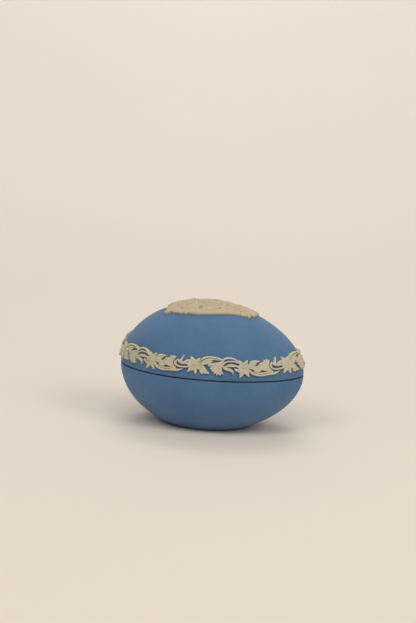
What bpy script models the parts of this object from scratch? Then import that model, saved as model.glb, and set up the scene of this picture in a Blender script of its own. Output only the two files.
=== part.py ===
"""Egg-shaped trinket box: a stoneware egg lying on its side, cut level through its widest plane.

The lower half is the box, with a flat foot and a locating rim; the upper half is a lift-off lid that
carries white applied relief: a flower border just above the seam and a flower basket on the crown.
Frame: +Z up, +X towards the pointed end, origin at the centre of the foot, on the resting plane.
Lengths are in millimetres and become metres in new_object.
"""
import math

import bmesh
import bpy
import numpy as np

MM = 0.001

# The egg: a unit sphere stretched to these half axes, and narrowed towards its pointed end
HALF_LENGTH = 35.0
HALF_WIDTH = 24.2
TAPER = -0.070        # width lost from the blunt end to the pointed end
FULLNESS = -0.049     # width lost towards both ends
SEAM_HEIGHT = 21.8    # seam plane above the foot

# Walls, rim and foot
SEAM_GAP = 0.3
LID_WALL = 2.6
RIM_CLEARANCE = 0.4
RIM_WALL = 1.4
RIM_HEIGHT = 2.4
FLOOR = 3.4
EDGE_SOFTENING = 0.35
FOOT_RING_SHARE = 0.78    # inner edge of the foot ring, as a share of the foot
FOOT_RECESS = 0.6

# Applied relief
RELIEF_GAP = 0.3
RELIEF = 0.85
BORDER_LEVEL = 5.2        # middle of the border above the seam, along the surface
FLOWERS = 10
FIRST_FLOWER = 12.0       # distance round the border from the blunt end
FLOWER_PITCH = 17.4       # flower to flower
FLOWER_RADIUS = 3.1
PETALS = 8
PALMETTE_BASE = 3.4       # where its lobes spring from, above the seam
PALMETTE_REACH = 7.8      # length of its middle lobe
PALMETTE_SPREAD = 0.9     # how much further the lowest lobes reach
PALMETTE_LOBES = 7
PALMETTE_STALK = 1.1
BOUQUET_CENTRE = (0.0, 4.9)
BOUQUET_RADIUS = 5.6
BOUQUET_PETALS = 9

# How finely the curved shapes are divided
SEGMENTS = 56
OUTER_RINGS = 11
INNER_RINGS = 8

BLUE = (0.115, 0.205, 0.335, 1.0)
WHITE = (0.56, 0.49, 0.36, 1.0)


def narrowing(along):
    """Width of the egg at a share of its half length, -1 blunt end to +1 pointed end."""
    return 1.0 + TAPER * along + FULLNESS * along ** 2


def egg(turn, rise, inset=0.0):
    """Point on the egg, or on one inset by a wall, from angles on the unit sphere."""
    along = np.cos(rise) * np.cos(turn)
    width = (HALF_WIDTH - inset) * narrowing(along)
    return np.stack([(HALF_LENGTH - inset) * along,
                     width * np.cos(rise) * np.sin(turn),
                     width * np.sin(rise)], axis=-1)


def rise_at_level(turn, level, inset=0.0):
    """Rise angle at which the egg reaches a level above the seam plane."""
    rise = np.zeros_like(turn)
    for _ in range(30):
        width = (HALF_WIDTH - inset) * narrowing(np.cos(rise) * np.cos(turn))
        rise = np.arcsin(np.clip(level / width, -1.0, 1.0))
    return rise


def level_loop(level, inset=0.0):
    """Closed loop round the egg at one level."""
    turn = np.arange(SEGMENTS) * 2 * math.pi / SEGMENTS
    return egg(turn, rise_at_level(turn, level, inset), inset)


def surface_normal(point):
    """Outward unit normal of the egg at a point on it, from the gradient of y^2 + z^2 - r(x)^2."""
    along = point[..., 0] / HALF_LENGTH
    width = narrowing(along)
    slope = TAPER + 2 * FULLNESS * along
    gradient_x = 2 * HALF_WIDTH ** 2 / HALF_LENGTH * (
        along * width ** 2 - (1 - along ** 2) * width * slope)
    gradient = np.stack([gradient_x, 2 * point[..., 1], 2 * point[..., 2]], axis=-1)
    return gradient / np.linalg.norm(gradient, axis=-1, keepdims=True)


def border_turns():
    """Distance round the border's middle, and the turn angle there, from the blunt end."""
    turn = np.linspace(math.pi, 3 * math.pi, 1441)
    path = egg(turn, rise_at_level(turn, BORDER_LEVEL))
    steps = np.linalg.norm(np.diff(path, axis=0), axis=1)
    return np.concatenate([[0.0], np.cumsum(steps)]), turn


BORDER_DISTANCE, BORDER_TURN = border_turns()
BORDER_LENGTH = BORDER_DISTANCE[-1]


def on_border(u, v, out):
    """Point at u round the border, v above the seam along the surface, out from the surface."""
    turn = np.interp(u % BORDER_LENGTH, BORDER_DISTANCE, BORDER_TURN)
    seam_width = HALF_WIDTH * narrowing(np.cos(turn))
    point = egg(turn, v / seam_width)
    return point + out * surface_normal(point)


def on_crown(x, y, out):
    """Point over (x, y) in plan on the lid's crown, out from the surface."""
    along = x / HALF_LENGTH
    radius = HALF_WIDTH * narrowing(along) * math.sqrt(1 - along ** 2)
    point = np.array([x, y, math.sqrt(radius ** 2 - y ** 2)])
    return point + out * surface_normal(point)


def clay(name, colour, roughness):
    """Matte unglazed stoneware in one colour."""
    material = bpy.data.materials.new(name + "_clay")
    material.use_nodes = True
    shader = material.node_tree.nodes["Principled BSDF"]
    shader.inputs["Base Color"].default_value = colour
    shader.inputs["Roughness"].default_value = roughness
    shader.inputs["Metallic"].default_value = 0.0
    material.diffuse_color = colour
    return material


def new_object(name, points, faces, colour, parent=None):
    """One closed solid from points about the seam plane's centre, in millimetres."""
    lifted = (np.array(points) + [0.0, 0.0, SEAM_HEIGHT]) * MM
    mesh = bpy.data.meshes.new(name)
    mesh.from_pydata([tuple(p) for p in lifted], [], faces)
    work = bmesh.new()
    work.from_mesh(mesh)
    bmesh.ops.recalc_face_normals(work, faces=work.faces)
    work.to_mesh(mesh)
    work.free()
    mesh.shade_smooth()
    mesh.set_sharp_from_angle(angle=math.radians(40))
    mesh.materials.append(clay(name, colour, roughness=0.75))
    solid = bpy.data.objects.new(name, mesh)
    bpy.context.scene.collection.objects.link(solid)
    if parent:
        solid.parent = parent
        solid.matrix_parent_inverse = parent.matrix_basis.inverted()
    return solid


def wrapped_rings(start, loops, end):
    """Points and faces of a solid closed by a start point, loops in order and an end point."""
    count = len(loops[0])
    points = [start, *np.concatenate(loops), end]
    faces = []
    for i in range(count):
        j = (i + 1) % count
        faces.append((0, 1 + j, 1 + i))
        for ring in range(len(loops) - 1):
            low, high = 1 + ring * count, 1 + (ring + 1) * count
            faces.append((low + i, low + j, high + j, high + i))
        last = 1 + (len(loops) - 1) * count
        faces.append((last + i, last + j, len(points) - 1))
    return points, faces


def build_base():
    """Lower half: recessed foot, outer wall, ledge for the lid, locating rim and cavity."""
    turn = np.arange(SEGMENTS) * 2 * math.pi / SEGMENTS
    foot = level_loop(-SEAM_HEIGHT)
    foot_rise = rise_at_level(turn, -SEAM_HEIGHT)
    edge_rise = rise_at_level(turn, -EDGE_SOFTENING)
    ring_inner = foot * [FOOT_RING_SHARE, FOOT_RING_SHARE, 1]
    recess_share = FOOT_RING_SHARE - 0.04
    recess = foot * [recess_share, recess_share, 1] + [0, 0, FOOT_RECESS]
    loops = [recess, ring_inner, foot]
    for ring in range(1, OUTER_RINGS + 1):
        share = ring / OUTER_RINGS
        loops.append(egg(turn, foot_rise * (1 - share) + edge_rise * share))
    rim_inset = LID_WALL + RIM_CLEARANCE
    cavity_inset = rim_inset + RIM_WALL
    loops.append(level_loop(0, EDGE_SOFTENING))
    loops.append(level_loop(0, rim_inset))
    loops.append(level_loop(RIM_HEIGHT - EDGE_SOFTENING, rim_inset))
    loops.append(level_loop(RIM_HEIGHT, rim_inset + EDGE_SOFTENING))
    loops.append(level_loop(RIM_HEIGHT, cavity_inset))
    floor_level = FLOOR - SEAM_HEIGHT
    top_rise = rise_at_level(turn, RIM_HEIGHT, cavity_inset)
    floor_rise = rise_at_level(turn, floor_level, cavity_inset)
    for ring in range(1, INNER_RINGS + 1):
        share = ring / INNER_RINGS
        loops.append(egg(turn, top_rise * (1 - share) + floor_rise * share, cavity_inset))
    start = np.array([0, 0, FOOT_RECESS - SEAM_HEIGHT])
    end = np.array([0, 0, floor_level])
    return new_object("base_shell", *wrapped_rings(start, loops, end), BLUE)


def build_lid(parent):
    """Upper half: a plain dome of even wall, open below, that drops over the rim."""
    turn = np.arange(SEGMENTS) * 2 * math.pi / SEGMENTS
    loops = []
    mouth_rise = rise_at_level(turn, SEAM_GAP, LID_WALL)
    for ring in range(1, INNER_RINGS + 1):
        share = ring / INNER_RINGS
        loops.append(egg(turn, math.pi / 2 * (1 - share) + mouth_rise * share, LID_WALL))
    loops.append(level_loop(SEAM_GAP, EDGE_SOFTENING))
    edge_rise = rise_at_level(turn, SEAM_GAP + EDGE_SOFTENING)
    for ring in range(OUTER_RINGS):
        share = ring / OUTER_RINGS
        loops.append(egg(turn, edge_rise * (1 - share) + math.pi / 2 * share))
    start = np.array([0, 0, HALF_WIDTH - LID_WALL])
    end = np.array([0, 0, HALF_WIDTH])
    return new_object("lid_shell", *wrapped_rings(start, loops, end), BLUE, parent)


def relief_strip(name, stations, place, parent):
    """Raised strip between its lower and upper edges, given as (along, low, high) stations."""
    across = ((0.0, 0.45), (0.15, 0.9), (0.38, 1.0), (0.62, 1.0), (0.85, 0.9), (1.0, 0.45))
    points = []
    for along, low, high in stations:
        for share, rise in across:
            points.append(place(along, low + share * (high - low), RELIEF_GAP + rise * RELIEF))
        for share, _ in reversed(across):
            points.append(place(along, low + share * (high - low), RELIEF_GAP))
    ring = 2 * len(across)
    faces = []
    for station in range(len(stations) - 1):
        near, far = station * ring, (station + 1) * ring
        for i in range(ring):
            j = (i + 1) % ring
            faces.append((near + i, near + j, far + j, far + i))
    for cap in (0, (len(stations) - 1) * ring):
        for i in range(len(across) - 1):
            faces.append((cap + i, cap + i + 1, cap + ring - 2 - i, cap + ring - 1 - i))
    return new_object(name, points, faces, WHITE, parent)


def relief_rosette(name, centre, outline, place, parent):
    """Raised rosette from its centre and its outline, a list of (angle, radius)."""
    rings = ((0.5, 1.0), (1.0, 0.5), (1.0, 0.0), (0.5, 0.0))
    loops = []
    for share, rise in rings:
        loops.append(np.array([
            place(centre[0] + share * radius * math.cos(angle),
                  centre[1] + share * radius * math.sin(angle), RELIEF_GAP + rise * RELIEF)
            for angle, radius in outline]))
    start = place(*centre, RELIEF_GAP + RELIEF)
    end = place(*centre, RELIEF_GAP)
    return new_object(name, *wrapped_rings(start, loops, end), WHITE, parent)


def petal_outline(radius, petals, points_per_petal=3, depth=0.2):
    """Outline of a round flower whose petals stand out by depth of its radius."""
    count = petals * points_per_petal
    angles = [2 * math.pi * i / count for i in range(count)]
    return [(angle, radius * (1 - depth + depth * math.cos(petals * angle))) for angle in angles]


def build_border(parent):
    """Flowers joined by alternate arch and bell sprays, closed by a palmette at the blunt end."""
    # Edges of one spray above the seam, at shares of the way between two flowers
    arch_edges = ((0.0, 2.9, 8.6), (0.17, 3.0, 9.0), (0.28, 3.6, 9.0), (0.42, 2.5, 8.7),
                  (0.58, 2.4, 8.2), (0.66, 2.9, 8.5), (0.74, 4.2, 8.8), (0.88, 3.5, 8.9), (1.0, 3.3, 8.6))
    bell_edges = ((0.0, 2.8, 7.9), (0.13, 2.5, 7.8), (0.26, 2.5, 7.5), (0.38, 2.6, 7.8),
                  (0.52, 2.8, 8.2), (0.64, 2.8, 8.0), (0.80, 3.1, 7.9), (0.90, 3.8, 8.6), (1.0, 4.3, 7.2))
    reach = FLOWER_RADIUS + RELIEF_GAP
    for flower in range(FLOWERS):
        u = FIRST_FLOWER + flower * FLOWER_PITCH
        relief_rosette(f"border_flower_{flower + 1:02d}", (u, BORDER_LEVEL),
                       petal_outline(FLOWER_RADIUS, PETALS), on_border, parent)
        if flower == FLOWERS - 1:
            break
        kind, edges = (("arch", arch_edges), ("bell", bell_edges))[flower % 2]
        stations = [(u + reach + share * (FLOWER_PITCH - 2 * reach), low, high) for share, low, high in edges]
        relief_strip(f"border_{kind}_spray_{flower // 2 + 1}", stations, on_border, parent)

    palmette = []
    points_per_lobe = 4
    for i in range(points_per_lobe * PALMETTE_LOBES + 1):
        angle = math.pi * i / (points_per_lobe * PALMETTE_LOBES)
        reach = PALMETTE_REACH + PALMETTE_SPREAD * math.cos(angle) ** 2
        palmette.append((angle, reach * (0.91 - 0.09 * math.cos(2 * math.pi * i / points_per_lobe))))
    palmette.append((1.5 * math.pi, PALMETTE_STALK))
    relief_rosette("blunt_end_palmette", (0.0, PALMETTE_BASE), palmette, on_border, parent)


def build_crown(parent):
    """Flower basket on a strip of ground, between two leaf sprays, in plan on the crown."""
    ground = ((-4.8, -11.9, -7.9), (-2.0, -11.8, -7.7), (1.3, -11.0, -7.7), (4.7, -9.8, -7.3),
              (7.3, -8.5, -6.6), (9.4, -7.0, -6.2))
    basket = ((-4.6, -3.2, -1.6), (-3.2, -6.2, -1.4), (-1.6, -7.4, -1.3), (1.6, -7.4, -1.3),
              (3.2, -6.2, -1.4), (4.6, -3.2, -1.6))
    relief_strip("crown_ground", ground, on_crown, parent)
    relief_strip("crown_basket", basket, on_crown, parent)
    relief_rosette("crown_bouquet", BOUQUET_CENTRE, petal_outline(BOUQUET_RADIUS, BOUQUET_PETALS),
                   on_crown, parent)
    left = ((-17.0, -7.0, -4.6), (-15.0, -9.0, 1.5), (-12.5, -10.2, 6.0), (-10.0, -11.2, 7.6),
            (-8.0, -11.6, 6.5), (-6.6, -11.4, 1.0), (-5.1, -11.3, -3.6))
    relief_strip("crown_left_spray", left, on_crown, parent)
    right = ((5.4, -6.0, -3.6), (6.6, -6.2, 1.0), (8.0, -5.9, 6.5), (10.0, -5.7, 7.6),
             (12.5, -5.6, 7.0), (14.8, -6.8, 5.0), (16.3, -4.5, 1.0))
    relief_strip("crown_right_spray", right, on_crown, parent)


def main():
    """Clear the scene and build the box at rest."""
    for leftover in list(bpy.data.objects):
        bpy.data.objects.remove(leftover, do_unlink=True)
    build_base()
    lid_lift = bpy.data.objects.new("lid_lift", None)
    lid_lift.empty_display_size = HALF_WIDTH * MM
    lid_lift.location = (0, 0, SEAM_HEIGHT * MM)
    bpy.context.scene.collection.objects.link(lid_lift)
    build_lid(lid_lift)
    build_border(lid_lift)
    build_crown(lid_lift)


main()
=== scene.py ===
import math

import bmesh
import bpy
import numpy as np
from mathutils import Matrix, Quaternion, Vector


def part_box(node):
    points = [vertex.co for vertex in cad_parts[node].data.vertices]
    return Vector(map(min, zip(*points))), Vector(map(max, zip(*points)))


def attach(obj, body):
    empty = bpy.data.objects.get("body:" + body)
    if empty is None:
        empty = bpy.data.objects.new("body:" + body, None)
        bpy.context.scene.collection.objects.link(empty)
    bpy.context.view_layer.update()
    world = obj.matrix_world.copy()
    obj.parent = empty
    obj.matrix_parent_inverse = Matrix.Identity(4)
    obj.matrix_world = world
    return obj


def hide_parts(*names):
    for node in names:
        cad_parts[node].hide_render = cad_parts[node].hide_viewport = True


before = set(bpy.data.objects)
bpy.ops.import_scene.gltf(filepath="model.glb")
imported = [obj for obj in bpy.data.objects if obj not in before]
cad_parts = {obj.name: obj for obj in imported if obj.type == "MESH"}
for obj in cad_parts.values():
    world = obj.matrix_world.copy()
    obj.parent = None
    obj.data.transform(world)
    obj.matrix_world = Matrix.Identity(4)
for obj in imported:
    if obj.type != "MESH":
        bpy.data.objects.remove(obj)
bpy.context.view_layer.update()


# ------------------------------------------------------------
# The base.
# Half an egg of solid blue stoneware, unglazed and dead matt, pressed over an egg-shaped form:
# foot ground flat and hollowed a little, a ledge for the lid, and a rim inside the ledge.
# ------------------------------------------------------------
MM = 0.001
base_low, base_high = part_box("base_shell")
lid_low, lid_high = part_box("lid_shell")
seam_gap = 0.3 * MM
seam_height = lid_low[2] - seam_gap
# the egg is a unit sphere stretched to these half axes, and narrowed towards its point
egg_form = {
    "Half length": (base_high[0] - base_low[0]) / 2,
    "Half width": lid_high[2] - seam_height,
    "Taper": -0.070,
    "Fullness": -0.049,
    "Seam height": seam_height,
}
lid_wall = 2.6 * MM
rim_clearance = 0.4 * MM
rim_wall = 1.4 * MM
rim_height = 2.4 * MM
floor_height = 3.4 * MM
foot_recess = 0.6 * MM
foot_recess_share = 0.76
outer_edge_radius = 0.5 * MM
inner_edge_radius = 0.35 * MM
ring_spacing = 0.8 * MM
segments = 256
unevenness = 0.12 * MM
rim_inset = lid_wall + rim_clearance
cavity_inset = rim_inset + rim_wall
darker_blue, lighter_blue = (0.063, 0.157, 0.316, 1), (0.077, 0.174, 0.340, 1)
dark_grain_blue, pale_grain_blue = (0.062, 0.120, 0.205, 1), (0.24, 0.34, 0.47, 1)
# painted shade for the seam between lid and base
painted_seam_shade = (0.016, 0.026, 0.042, 1)


def narrowing(along):
    """Width of the egg at a share of its half length, from -1 blunt to +1 pointed."""
    return 1 + egg_form["Taper"] * along + egg_form["Fullness"] * along ** 2


def add_node(tree, kind, inputs=None, **settings):
    """A node with its settings, and its inputs linked or set."""
    node = tree.nodes.new(kind)
    for name, value in settings.items():
        setattr(node, name, value)
    for key, value in (inputs or {}).items():
        if isinstance(value, bpy.types.NodeSocket):
            tree.links.new(value, node.inputs[key])
        else:
            node.inputs[key].default_value = value
    return node


def maths(tree, operation, *values):
    """The result of a Math node on sockets or numbers."""
    node = add_node(tree, "ShaderNodeMath", dict(enumerate(values)), operation=operation)
    return node.outputs[0]


def times(tree, first, second):
    """The product of two sockets or numbers."""
    return maths(tree, "MULTIPLY", first, second)


def new_tree(name, numbers, geometry=True, material=True):
    """A Geometry Nodes tree with its geometry sockets, a material and named sizes."""
    tree = bpy.data.node_groups.new(name, "GeometryNodeTree")
    if geometry:
        tree.interface.new_socket("Geometry", in_out="OUTPUT", socket_type="NodeSocketGeometry")
        tree.interface.new_socket("Geometry", in_out="INPUT", socket_type="NodeSocketGeometry")
    if material:
        tree.interface.new_socket("Material", in_out="INPUT", socket_type="NodeSocketMaterial")
    for number in numbers:
        tree.interface.new_socket(number, in_out="INPUT", socket_type="NodeSocketFloat")
    return tree, tree.nodes.new("NodeGroupInput"), tree.nodes.new("NodeGroupOutput")


def narrowing_nodes(tree, along, given):
    """The narrowing rule as nodes."""
    bend = times(tree, times(tree, along, along), given.outputs["Fullness"])
    slope = times(tree, along, given.outputs["Taper"])
    return maths(tree, "ADD", maths(tree, "ADD", bend, slope), 1.0)


def make_egg_group():
    """Node group: place on the egg of a unit direction, inset into the wall or out from it."""
    tree, given, result = new_tree("Place on the egg", [], geometry=False, material=False)
    tree.interface.new_socket("Place", in_out="OUTPUT", socket_type="NodeSocketVector")
    tree.interface.new_socket("Direction", in_out="INPUT", socket_type="NodeSocketVector")
    for number in ("Inset", *egg_form):
        tree.interface.new_socket(number, in_out="INPUT", socket_type="NodeSocketFloat")
    unit = add_node(tree, "ShaderNodeSeparateXYZ", {0: given.outputs["Direction"]})
    length = maths(tree, "SUBTRACT", given.outputs["Half length"], given.outputs["Inset"])
    width = times(tree, narrowing_nodes(tree, unit.outputs[0], given),
                  maths(tree, "SUBTRACT", given.outputs["Half width"], given.outputs["Inset"]))
    height = maths(tree, "ADD", times(tree, unit.outputs[2], width),
                   given.outputs["Seam height"])
    place = add_node(tree, "ShaderNodeCombineXYZ", {
        0: times(tree, unit.outputs[0], length),
        1: times(tree, unit.outputs[1], width), 2: height})
    tree.links.new(place.outputs[0], result.inputs["Place"])
    return tree


egg_group = make_egg_group()


def egg_place(tree, given, direction, inset):
    """The place on the egg of a direction, with the tree's own egg sizes."""
    group = tree.nodes.new("GeometryNodeGroup")
    group.node_tree = egg_group
    tree.links.new(direction, group.inputs["Direction"])
    tree.links.new(inset, group.inputs["Inset"])
    for name in egg_form:
        tree.links.new(given.outputs[name], group.inputs[name])
    return group.outputs["Place"]


def direction_nodes(tree, turn, rise):
    """Unit direction of a turn round the seam and a rise above it."""
    flat = maths(tree, "COSINE", rise)
    return add_node(tree, "ShaderNodeCombineXYZ", {
        0: times(tree, flat, maths(tree, "COSINE", turn)),
        1: times(tree, flat, maths(tree, "SINE", turn)),
        2: maths(tree, "SINE", rise)}).outputs[0]


def number_attribute(tree, name):
    """A number stored on the points."""
    return add_node(tree, "GeometryNodeInputNamedAttribute", {"Name": name},
                    data_type="FLOAT").outputs["Attribute"]


def width_nodes(tree, along, given):
    """Half width of the egg at a share of its half length, as nodes."""
    return times(tree, given.outputs["Half width"], narrowing_nodes(tree, along, given))


def end_tree(tree, given, result, geometry):
    """Ends a tree: smooth, realized and in its material."""
    smooth = add_node(tree, "GeometryNodeSetShadeSmooth", {"Geometry": geometry})
    real = add_node(tree, "GeometryNodeRealizeInstances", {"Geometry": smooth.outputs[0]})
    painted = add_node(tree, "GeometryNodeSetMaterial", {
        "Geometry": real.outputs[0], "Material": given.outputs["Material"]})
    tree.links.new(painted.outputs[0], result.inputs["Geometry"])
    return tree


def make_piece(name, mesh, tree, inputs):
    """A piece from its flat mesh and its tree: evaluated, and left as a plain mesh."""
    piece = bpy.data.objects.new(name, mesh)
    bpy.context.scene.collection.objects.link(piece)
    modifier = piece.modifiers.new("Form", "NODES")
    modifier.node_group = tree
    for socket in tree.interface.items_tree:
        if socket.in_out == "INPUT" and socket.name in inputs:
            modifier[socket.identifier] = inputs[socket.name]
    finished = bpy.data.meshes.new_from_object(piece.evaluated_get(bpy.context.evaluated_depsgraph_get()))
    piece.modifiers.remove(modifier)
    piece.data = finished
    finished.name = name
    return piece


def new_material(name, roughness):
    """A Principled material with the clay's matt surface, its tree and its coordinates."""
    material = bpy.data.materials.new(name)
    material.use_nodes = True
    tree = material.node_tree
    shader = tree.nodes["Principled BSDF"]
    shader.inputs["Roughness"].default_value = roughness
    shader.inputs["Specular IOR Level"].default_value = 0.3
    shader.inputs["Sheen Weight"].default_value = 0.12
    shader.inputs["Sheen Roughness"].default_value = 0.6
    coordinates = tree.nodes.new("ShaderNodeTexCoord").outputs["Object"]
    return material, tree, shader, coordinates


def noise(tree, coordinates, per_metre, detail=2.0):
    """Noise of so many cells a metre."""
    return add_node(tree, "ShaderNodeTexNoise", {"Vector": coordinates, "Scale": per_metre,
                                                 "Detail": detail}).outputs[0]


def mixed(tree, share, first, second):
    """Two colours mixed."""
    return add_node(tree, "ShaderNodeMix", {0: share, 6: first, 7: second}, data_type="RGBA").outputs[2]


def over(tree, body, amount, share, colour):
    """A colour laid over a body by an amount and a share of it."""
    return mixed(tree, times(tree, amount, share), body, colour)


def between(tree, value, low, high, to_low=0.0, to_high=1.0):
    """A value's place between two levels, eased."""
    return add_node(tree, "ShaderNodeMapRange", {0: value, 1: low, 2: high, 3: to_low, 4: to_high},
                    interpolation_type="SMOOTHSTEP").outputs[0]


def make_blue_clay():
    """Blue stoneware: mottled body, pale and dark grains, fine tooth."""
    material, tree, shader, coordinates = new_material("blue_stoneware", roughness=0.78)
    cloud = between(tree, noise(tree, coordinates, 70.0, 3.0), 0.35, 0.68)
    body = mixed(tree, cloud, darker_blue, lighter_blue)
    dark_grain = between(tree, noise(tree, coordinates, 5200.0), 0.60, 0.70)
    body = over(tree, body, dark_grain, 0.30, dark_grain_blue)
    pale_grain = between(tree, noise(tree, coordinates, 4300.0, 0.0), 0.66, 0.76)
    body = over(tree, body, pale_grain, 0.16, pale_grain_blue)
    # Painted shade: a dark band on the outside of both halves along the seam stands in for the shade in the gap
    # between lid and base.
    level = add_node(tree, "ShaderNodeSeparateXYZ", {0: coordinates}).outputs["Z"]
    off_seam = maths(tree, "ABSOLUTE", maths(tree, "SUBTRACT", level, seam_height + 0.5 * seam_gap))
    depth = add_node(tree, "ShaderNodeAttribute", attribute_name="inset").outputs["Fac"]
    seam_shade = times(tree, between(tree, off_seam, 0.12 * MM, 0.50 * MM, 0.75, 0.0),
                  between(tree, depth, 0.30 * MM, 0.80 * MM, 1.0, 0.0))
    body = mixed(tree, seam_shade, body, painted_seam_shade)
    tree.links.new(body, shader.inputs["Base Color"])
    tree.links.new(between(tree, noise(tree, coordinates, 400.0), 0.3, 0.7, 0.70, 0.86),
                   shader.inputs["Roughness"])
    tooth = add_node(tree, "ShaderNodeBump", {"Strength": 0.35, "Distance": 0.06 * MM,
                                              "Height": noise(tree, coordinates, 3200.0, 4.0)})
    drag = add_node(tree, "ShaderNodeBump", {"Strength": 0.25, "Distance": 0.12 * MM,
                                             "Height": noise(tree, coordinates, 420.0, 2.0),
                                             "Normal": tooth.outputs[0]})
    tree.links.new(drag.outputs[0], shader.inputs["Normal"])
    return material


blue_clay = make_blue_clay()


def softened_profile(corners, radii):
    """Wall profile through its corners, each rounded, as (distance from the seam, inset) points."""
    corners = [np.array(c) for c in corners]
    points = [corners[0]]
    for before, corner, after, radius in zip(corners, corners[1:], corners[2:], radii):
        start = corner + (before - corner) / np.linalg.norm(before - corner) * radius
        end = corner + (after - corner) / np.linalg.norm(after - corner) * radius
        for share in np.linspace(0, 1, 6):
            points.append((1 - share) ** 2 * start + 2 * share * (1 - share) * corner + share ** 2 * end)
    points.append(corners[-1])
    return points


def shell_lattice(name, corners, radii, first_inset, last_inset):
    """Ring lattice of a half egg's wall: outside or inside pole, wall edge, and the other pole."""
    edge = softened_profile(corners, radii)
    rings = []
    dome_rings = int(egg_form["Half width"] * math.pi / 2 / ring_spacing)
    for step in range(dome_rings):
        rings.append((edge[0][0], first_inset, 1 - step / dome_rings))
    rings += [(along, inset, 0.0) for along, inset in edge]
    for step in range(1, dome_rings + 1):
        rings.append((edge[-1][0], last_inset, step / dome_rings))
    turns = np.arange(segments) * 2 * math.pi / segments
    along, inset, share = (np.repeat([ring[i] for ring in rings], segments) for i in range(3))
    turn = np.tile(turns, len(rings))
    order = np.repeat(np.arange(len(rings)), segments)
    lattice = np.stack([np.cos(turn) * (2 + order), np.sin(turn) * (2 + order), order * 0.1], axis=1) * MM
    faces = []
    for ring in range(len(rings) - 1):
        for i in range(segments):
            j = (i + 1) % segments
            faces.append((ring * segments + i, ring * segments + j,
                          (ring + 1) * segments + j, (ring + 1) * segments + i))
    mesh = bpy.data.meshes.new(name)
    mesh.from_pydata(lattice.tolist(), [], faces)
    for label, values in (("turn", turn), ("along", along), ("inset", inset), ("share", share)):
        mesh.attributes.new(label, "FLOAT", "POINT").data.foreach_set("value", values.astype(np.float32))
    return mesh


def make_shell_tree():
    """Tree that bends a ring lattice into half an egg, grinds its foot and hollows its floor."""
    sizes = [*egg_form, "Pole", "Floor", "Recess", "Recess share", "Unevenness"]
    tree, given, result = new_tree("Pressed half egg", sizes)
    turn, along, inset, share = (number_attribute(tree, n) for n in ("turn", "along", "inset", "share"))
    width = times(tree, maths(tree, "SUBTRACT", given.outputs["Half width"], inset),
                  narrowing_nodes(tree, maths(tree, "COSINE", turn), given))
    edge_rise = maths(tree, "DIVIDE", along, width)
    pole_part = times(tree, share, given.outputs["Pole"])
    edge_part = times(tree, edge_rise, maths(tree, "SUBTRACT", 1.0, share))
    rise = maths(tree, "ADD", pole_part, edge_part)
    direction = direction_nodes(tree, turn, rise)
    place = egg_place(tree, given, direction, inset)
    pressing = maths(tree, "SUBTRACT", add_node(tree, "ShaderNodeTexNoise", {
        "Vector": place, "Scale": 55.0, "Detail": 1.0}).outputs[0], 0.5)
    bump = times(tree, pressing, given.outputs["Unevenness"])
    swell = add_node(tree, "ShaderNodeVectorMath", {0: direction, "Scale": bump}, operation="SCALE")
    pressed = add_node(tree, "ShaderNodeVectorMath", {0: place, 1: swell.outputs[0]}, operation="ADD")
    corner = add_node(tree, "ShaderNodeSeparateXYZ", {0: pressed.outputs[0]})
    is_inside = maths(tree, "GREATER_THAN", inset, 1.5 * MM)
    lowest = times(tree, is_inside, given.outputs["Floor"])
    ground = maths(tree, "SMOOTH_MAX", corner.outputs[2], lowest, 0.5 * MM)
    # the ground foot is an oval: where the egg's own height would fall below the foot
    foot_drop = maths(tree, "SUBTRACT", given.outputs["Half width"], given.outputs["Seam height"])
    below = maths(tree, "DIVIDE", times(tree, corner.outputs[2], -1.0), foot_drop)
    hollow_start = maths(tree, "SUBTRACT", 1.0, times(
        tree, given.outputs["Recess share"], given.outputs["Recess share"]))
    recess = add_node(tree, "ShaderNodeMapRange", {
        0: below, 1: hollow_start, 2: maths(tree, "ADD", hollow_start, 0.09), 3: 0.0,
        4: given.outputs["Recess"]}, interpolation_type="SMOOTHSTEP").outputs[0]
    outside = maths(tree, "SUBTRACT", 1.0, is_inside)
    height = maths(tree, "ADD", ground, times(tree, recess, outside))
    final = add_node(tree, "ShaderNodeCombineXYZ", {0: corner.outputs[0], 1: corner.outputs[1], 2: height})
    moved = add_node(tree, "GeometryNodeSetPosition", {
        "Geometry": given.outputs["Geometry"], "Position": final.outputs[0]})
    closed = add_node(tree, "GeometryNodeMergeByDistance", {
        "Geometry": moved.outputs[0], "Distance": 0.002 * MM})
    return end_tree(tree, given, result, closed.outputs[0])


def face_outwards(piece):
    """Turns a closed mesh's faces outwards."""
    work = bmesh.new()
    work.from_mesh(piece.data)
    bmesh.ops.recalc_face_normals(work, faces=work.faces)
    work.to_mesh(piece.data)
    work.free()


shell_tree = make_shell_tree()
base_lattice = shell_lattice(
    "base_lattice",
    [(-1.2 * MM, 0), (0, 0), (0, rim_inset), (rim_height, rim_inset), (rim_height, cavity_inset),
     (0, cavity_inset)],
    [outer_edge_radius, inner_edge_radius, outer_edge_radius, outer_edge_radius], 0, cavity_inset)
box_base = make_piece("box_base", base_lattice, shell_tree, {
    **egg_form, "Pole": -math.pi / 2, "Floor": floor_height, "Recess": foot_recess,
    "Recess share": foot_recess_share, "Unevenness": unevenness, "Material": blue_clay})
face_outwards(box_base)
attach(box_base, "base")
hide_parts("base_shell")


# ------------------------------------------------------------
# The lid.
# The other pressed half egg, plain inside, its mouth fettled flat and its edge wiped round with
# a damp sponge. It stands on the ledge of the base and lifts straight off.
# ------------------------------------------------------------
lid_lattice = shell_lattice(
    "lid_lattice",
    [(1.5 * MM, lid_wall), (seam_gap, lid_wall), (seam_gap, 0), (1.5 * MM, 0)],
    [inner_edge_radius, outer_edge_radius], lid_wall, 0)
box_lid = make_piece("box_lid", lid_lattice, shell_tree, {
    **egg_form, "Pole": math.pi / 2, "Floor": 0.0, "Recess": 0.0, "Recess share": foot_recess_share,
    "Unevenness": unevenness, "Material": blue_clay})
face_outwards(box_lid)
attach(box_lid, "lid")
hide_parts("lid_shell")


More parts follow.
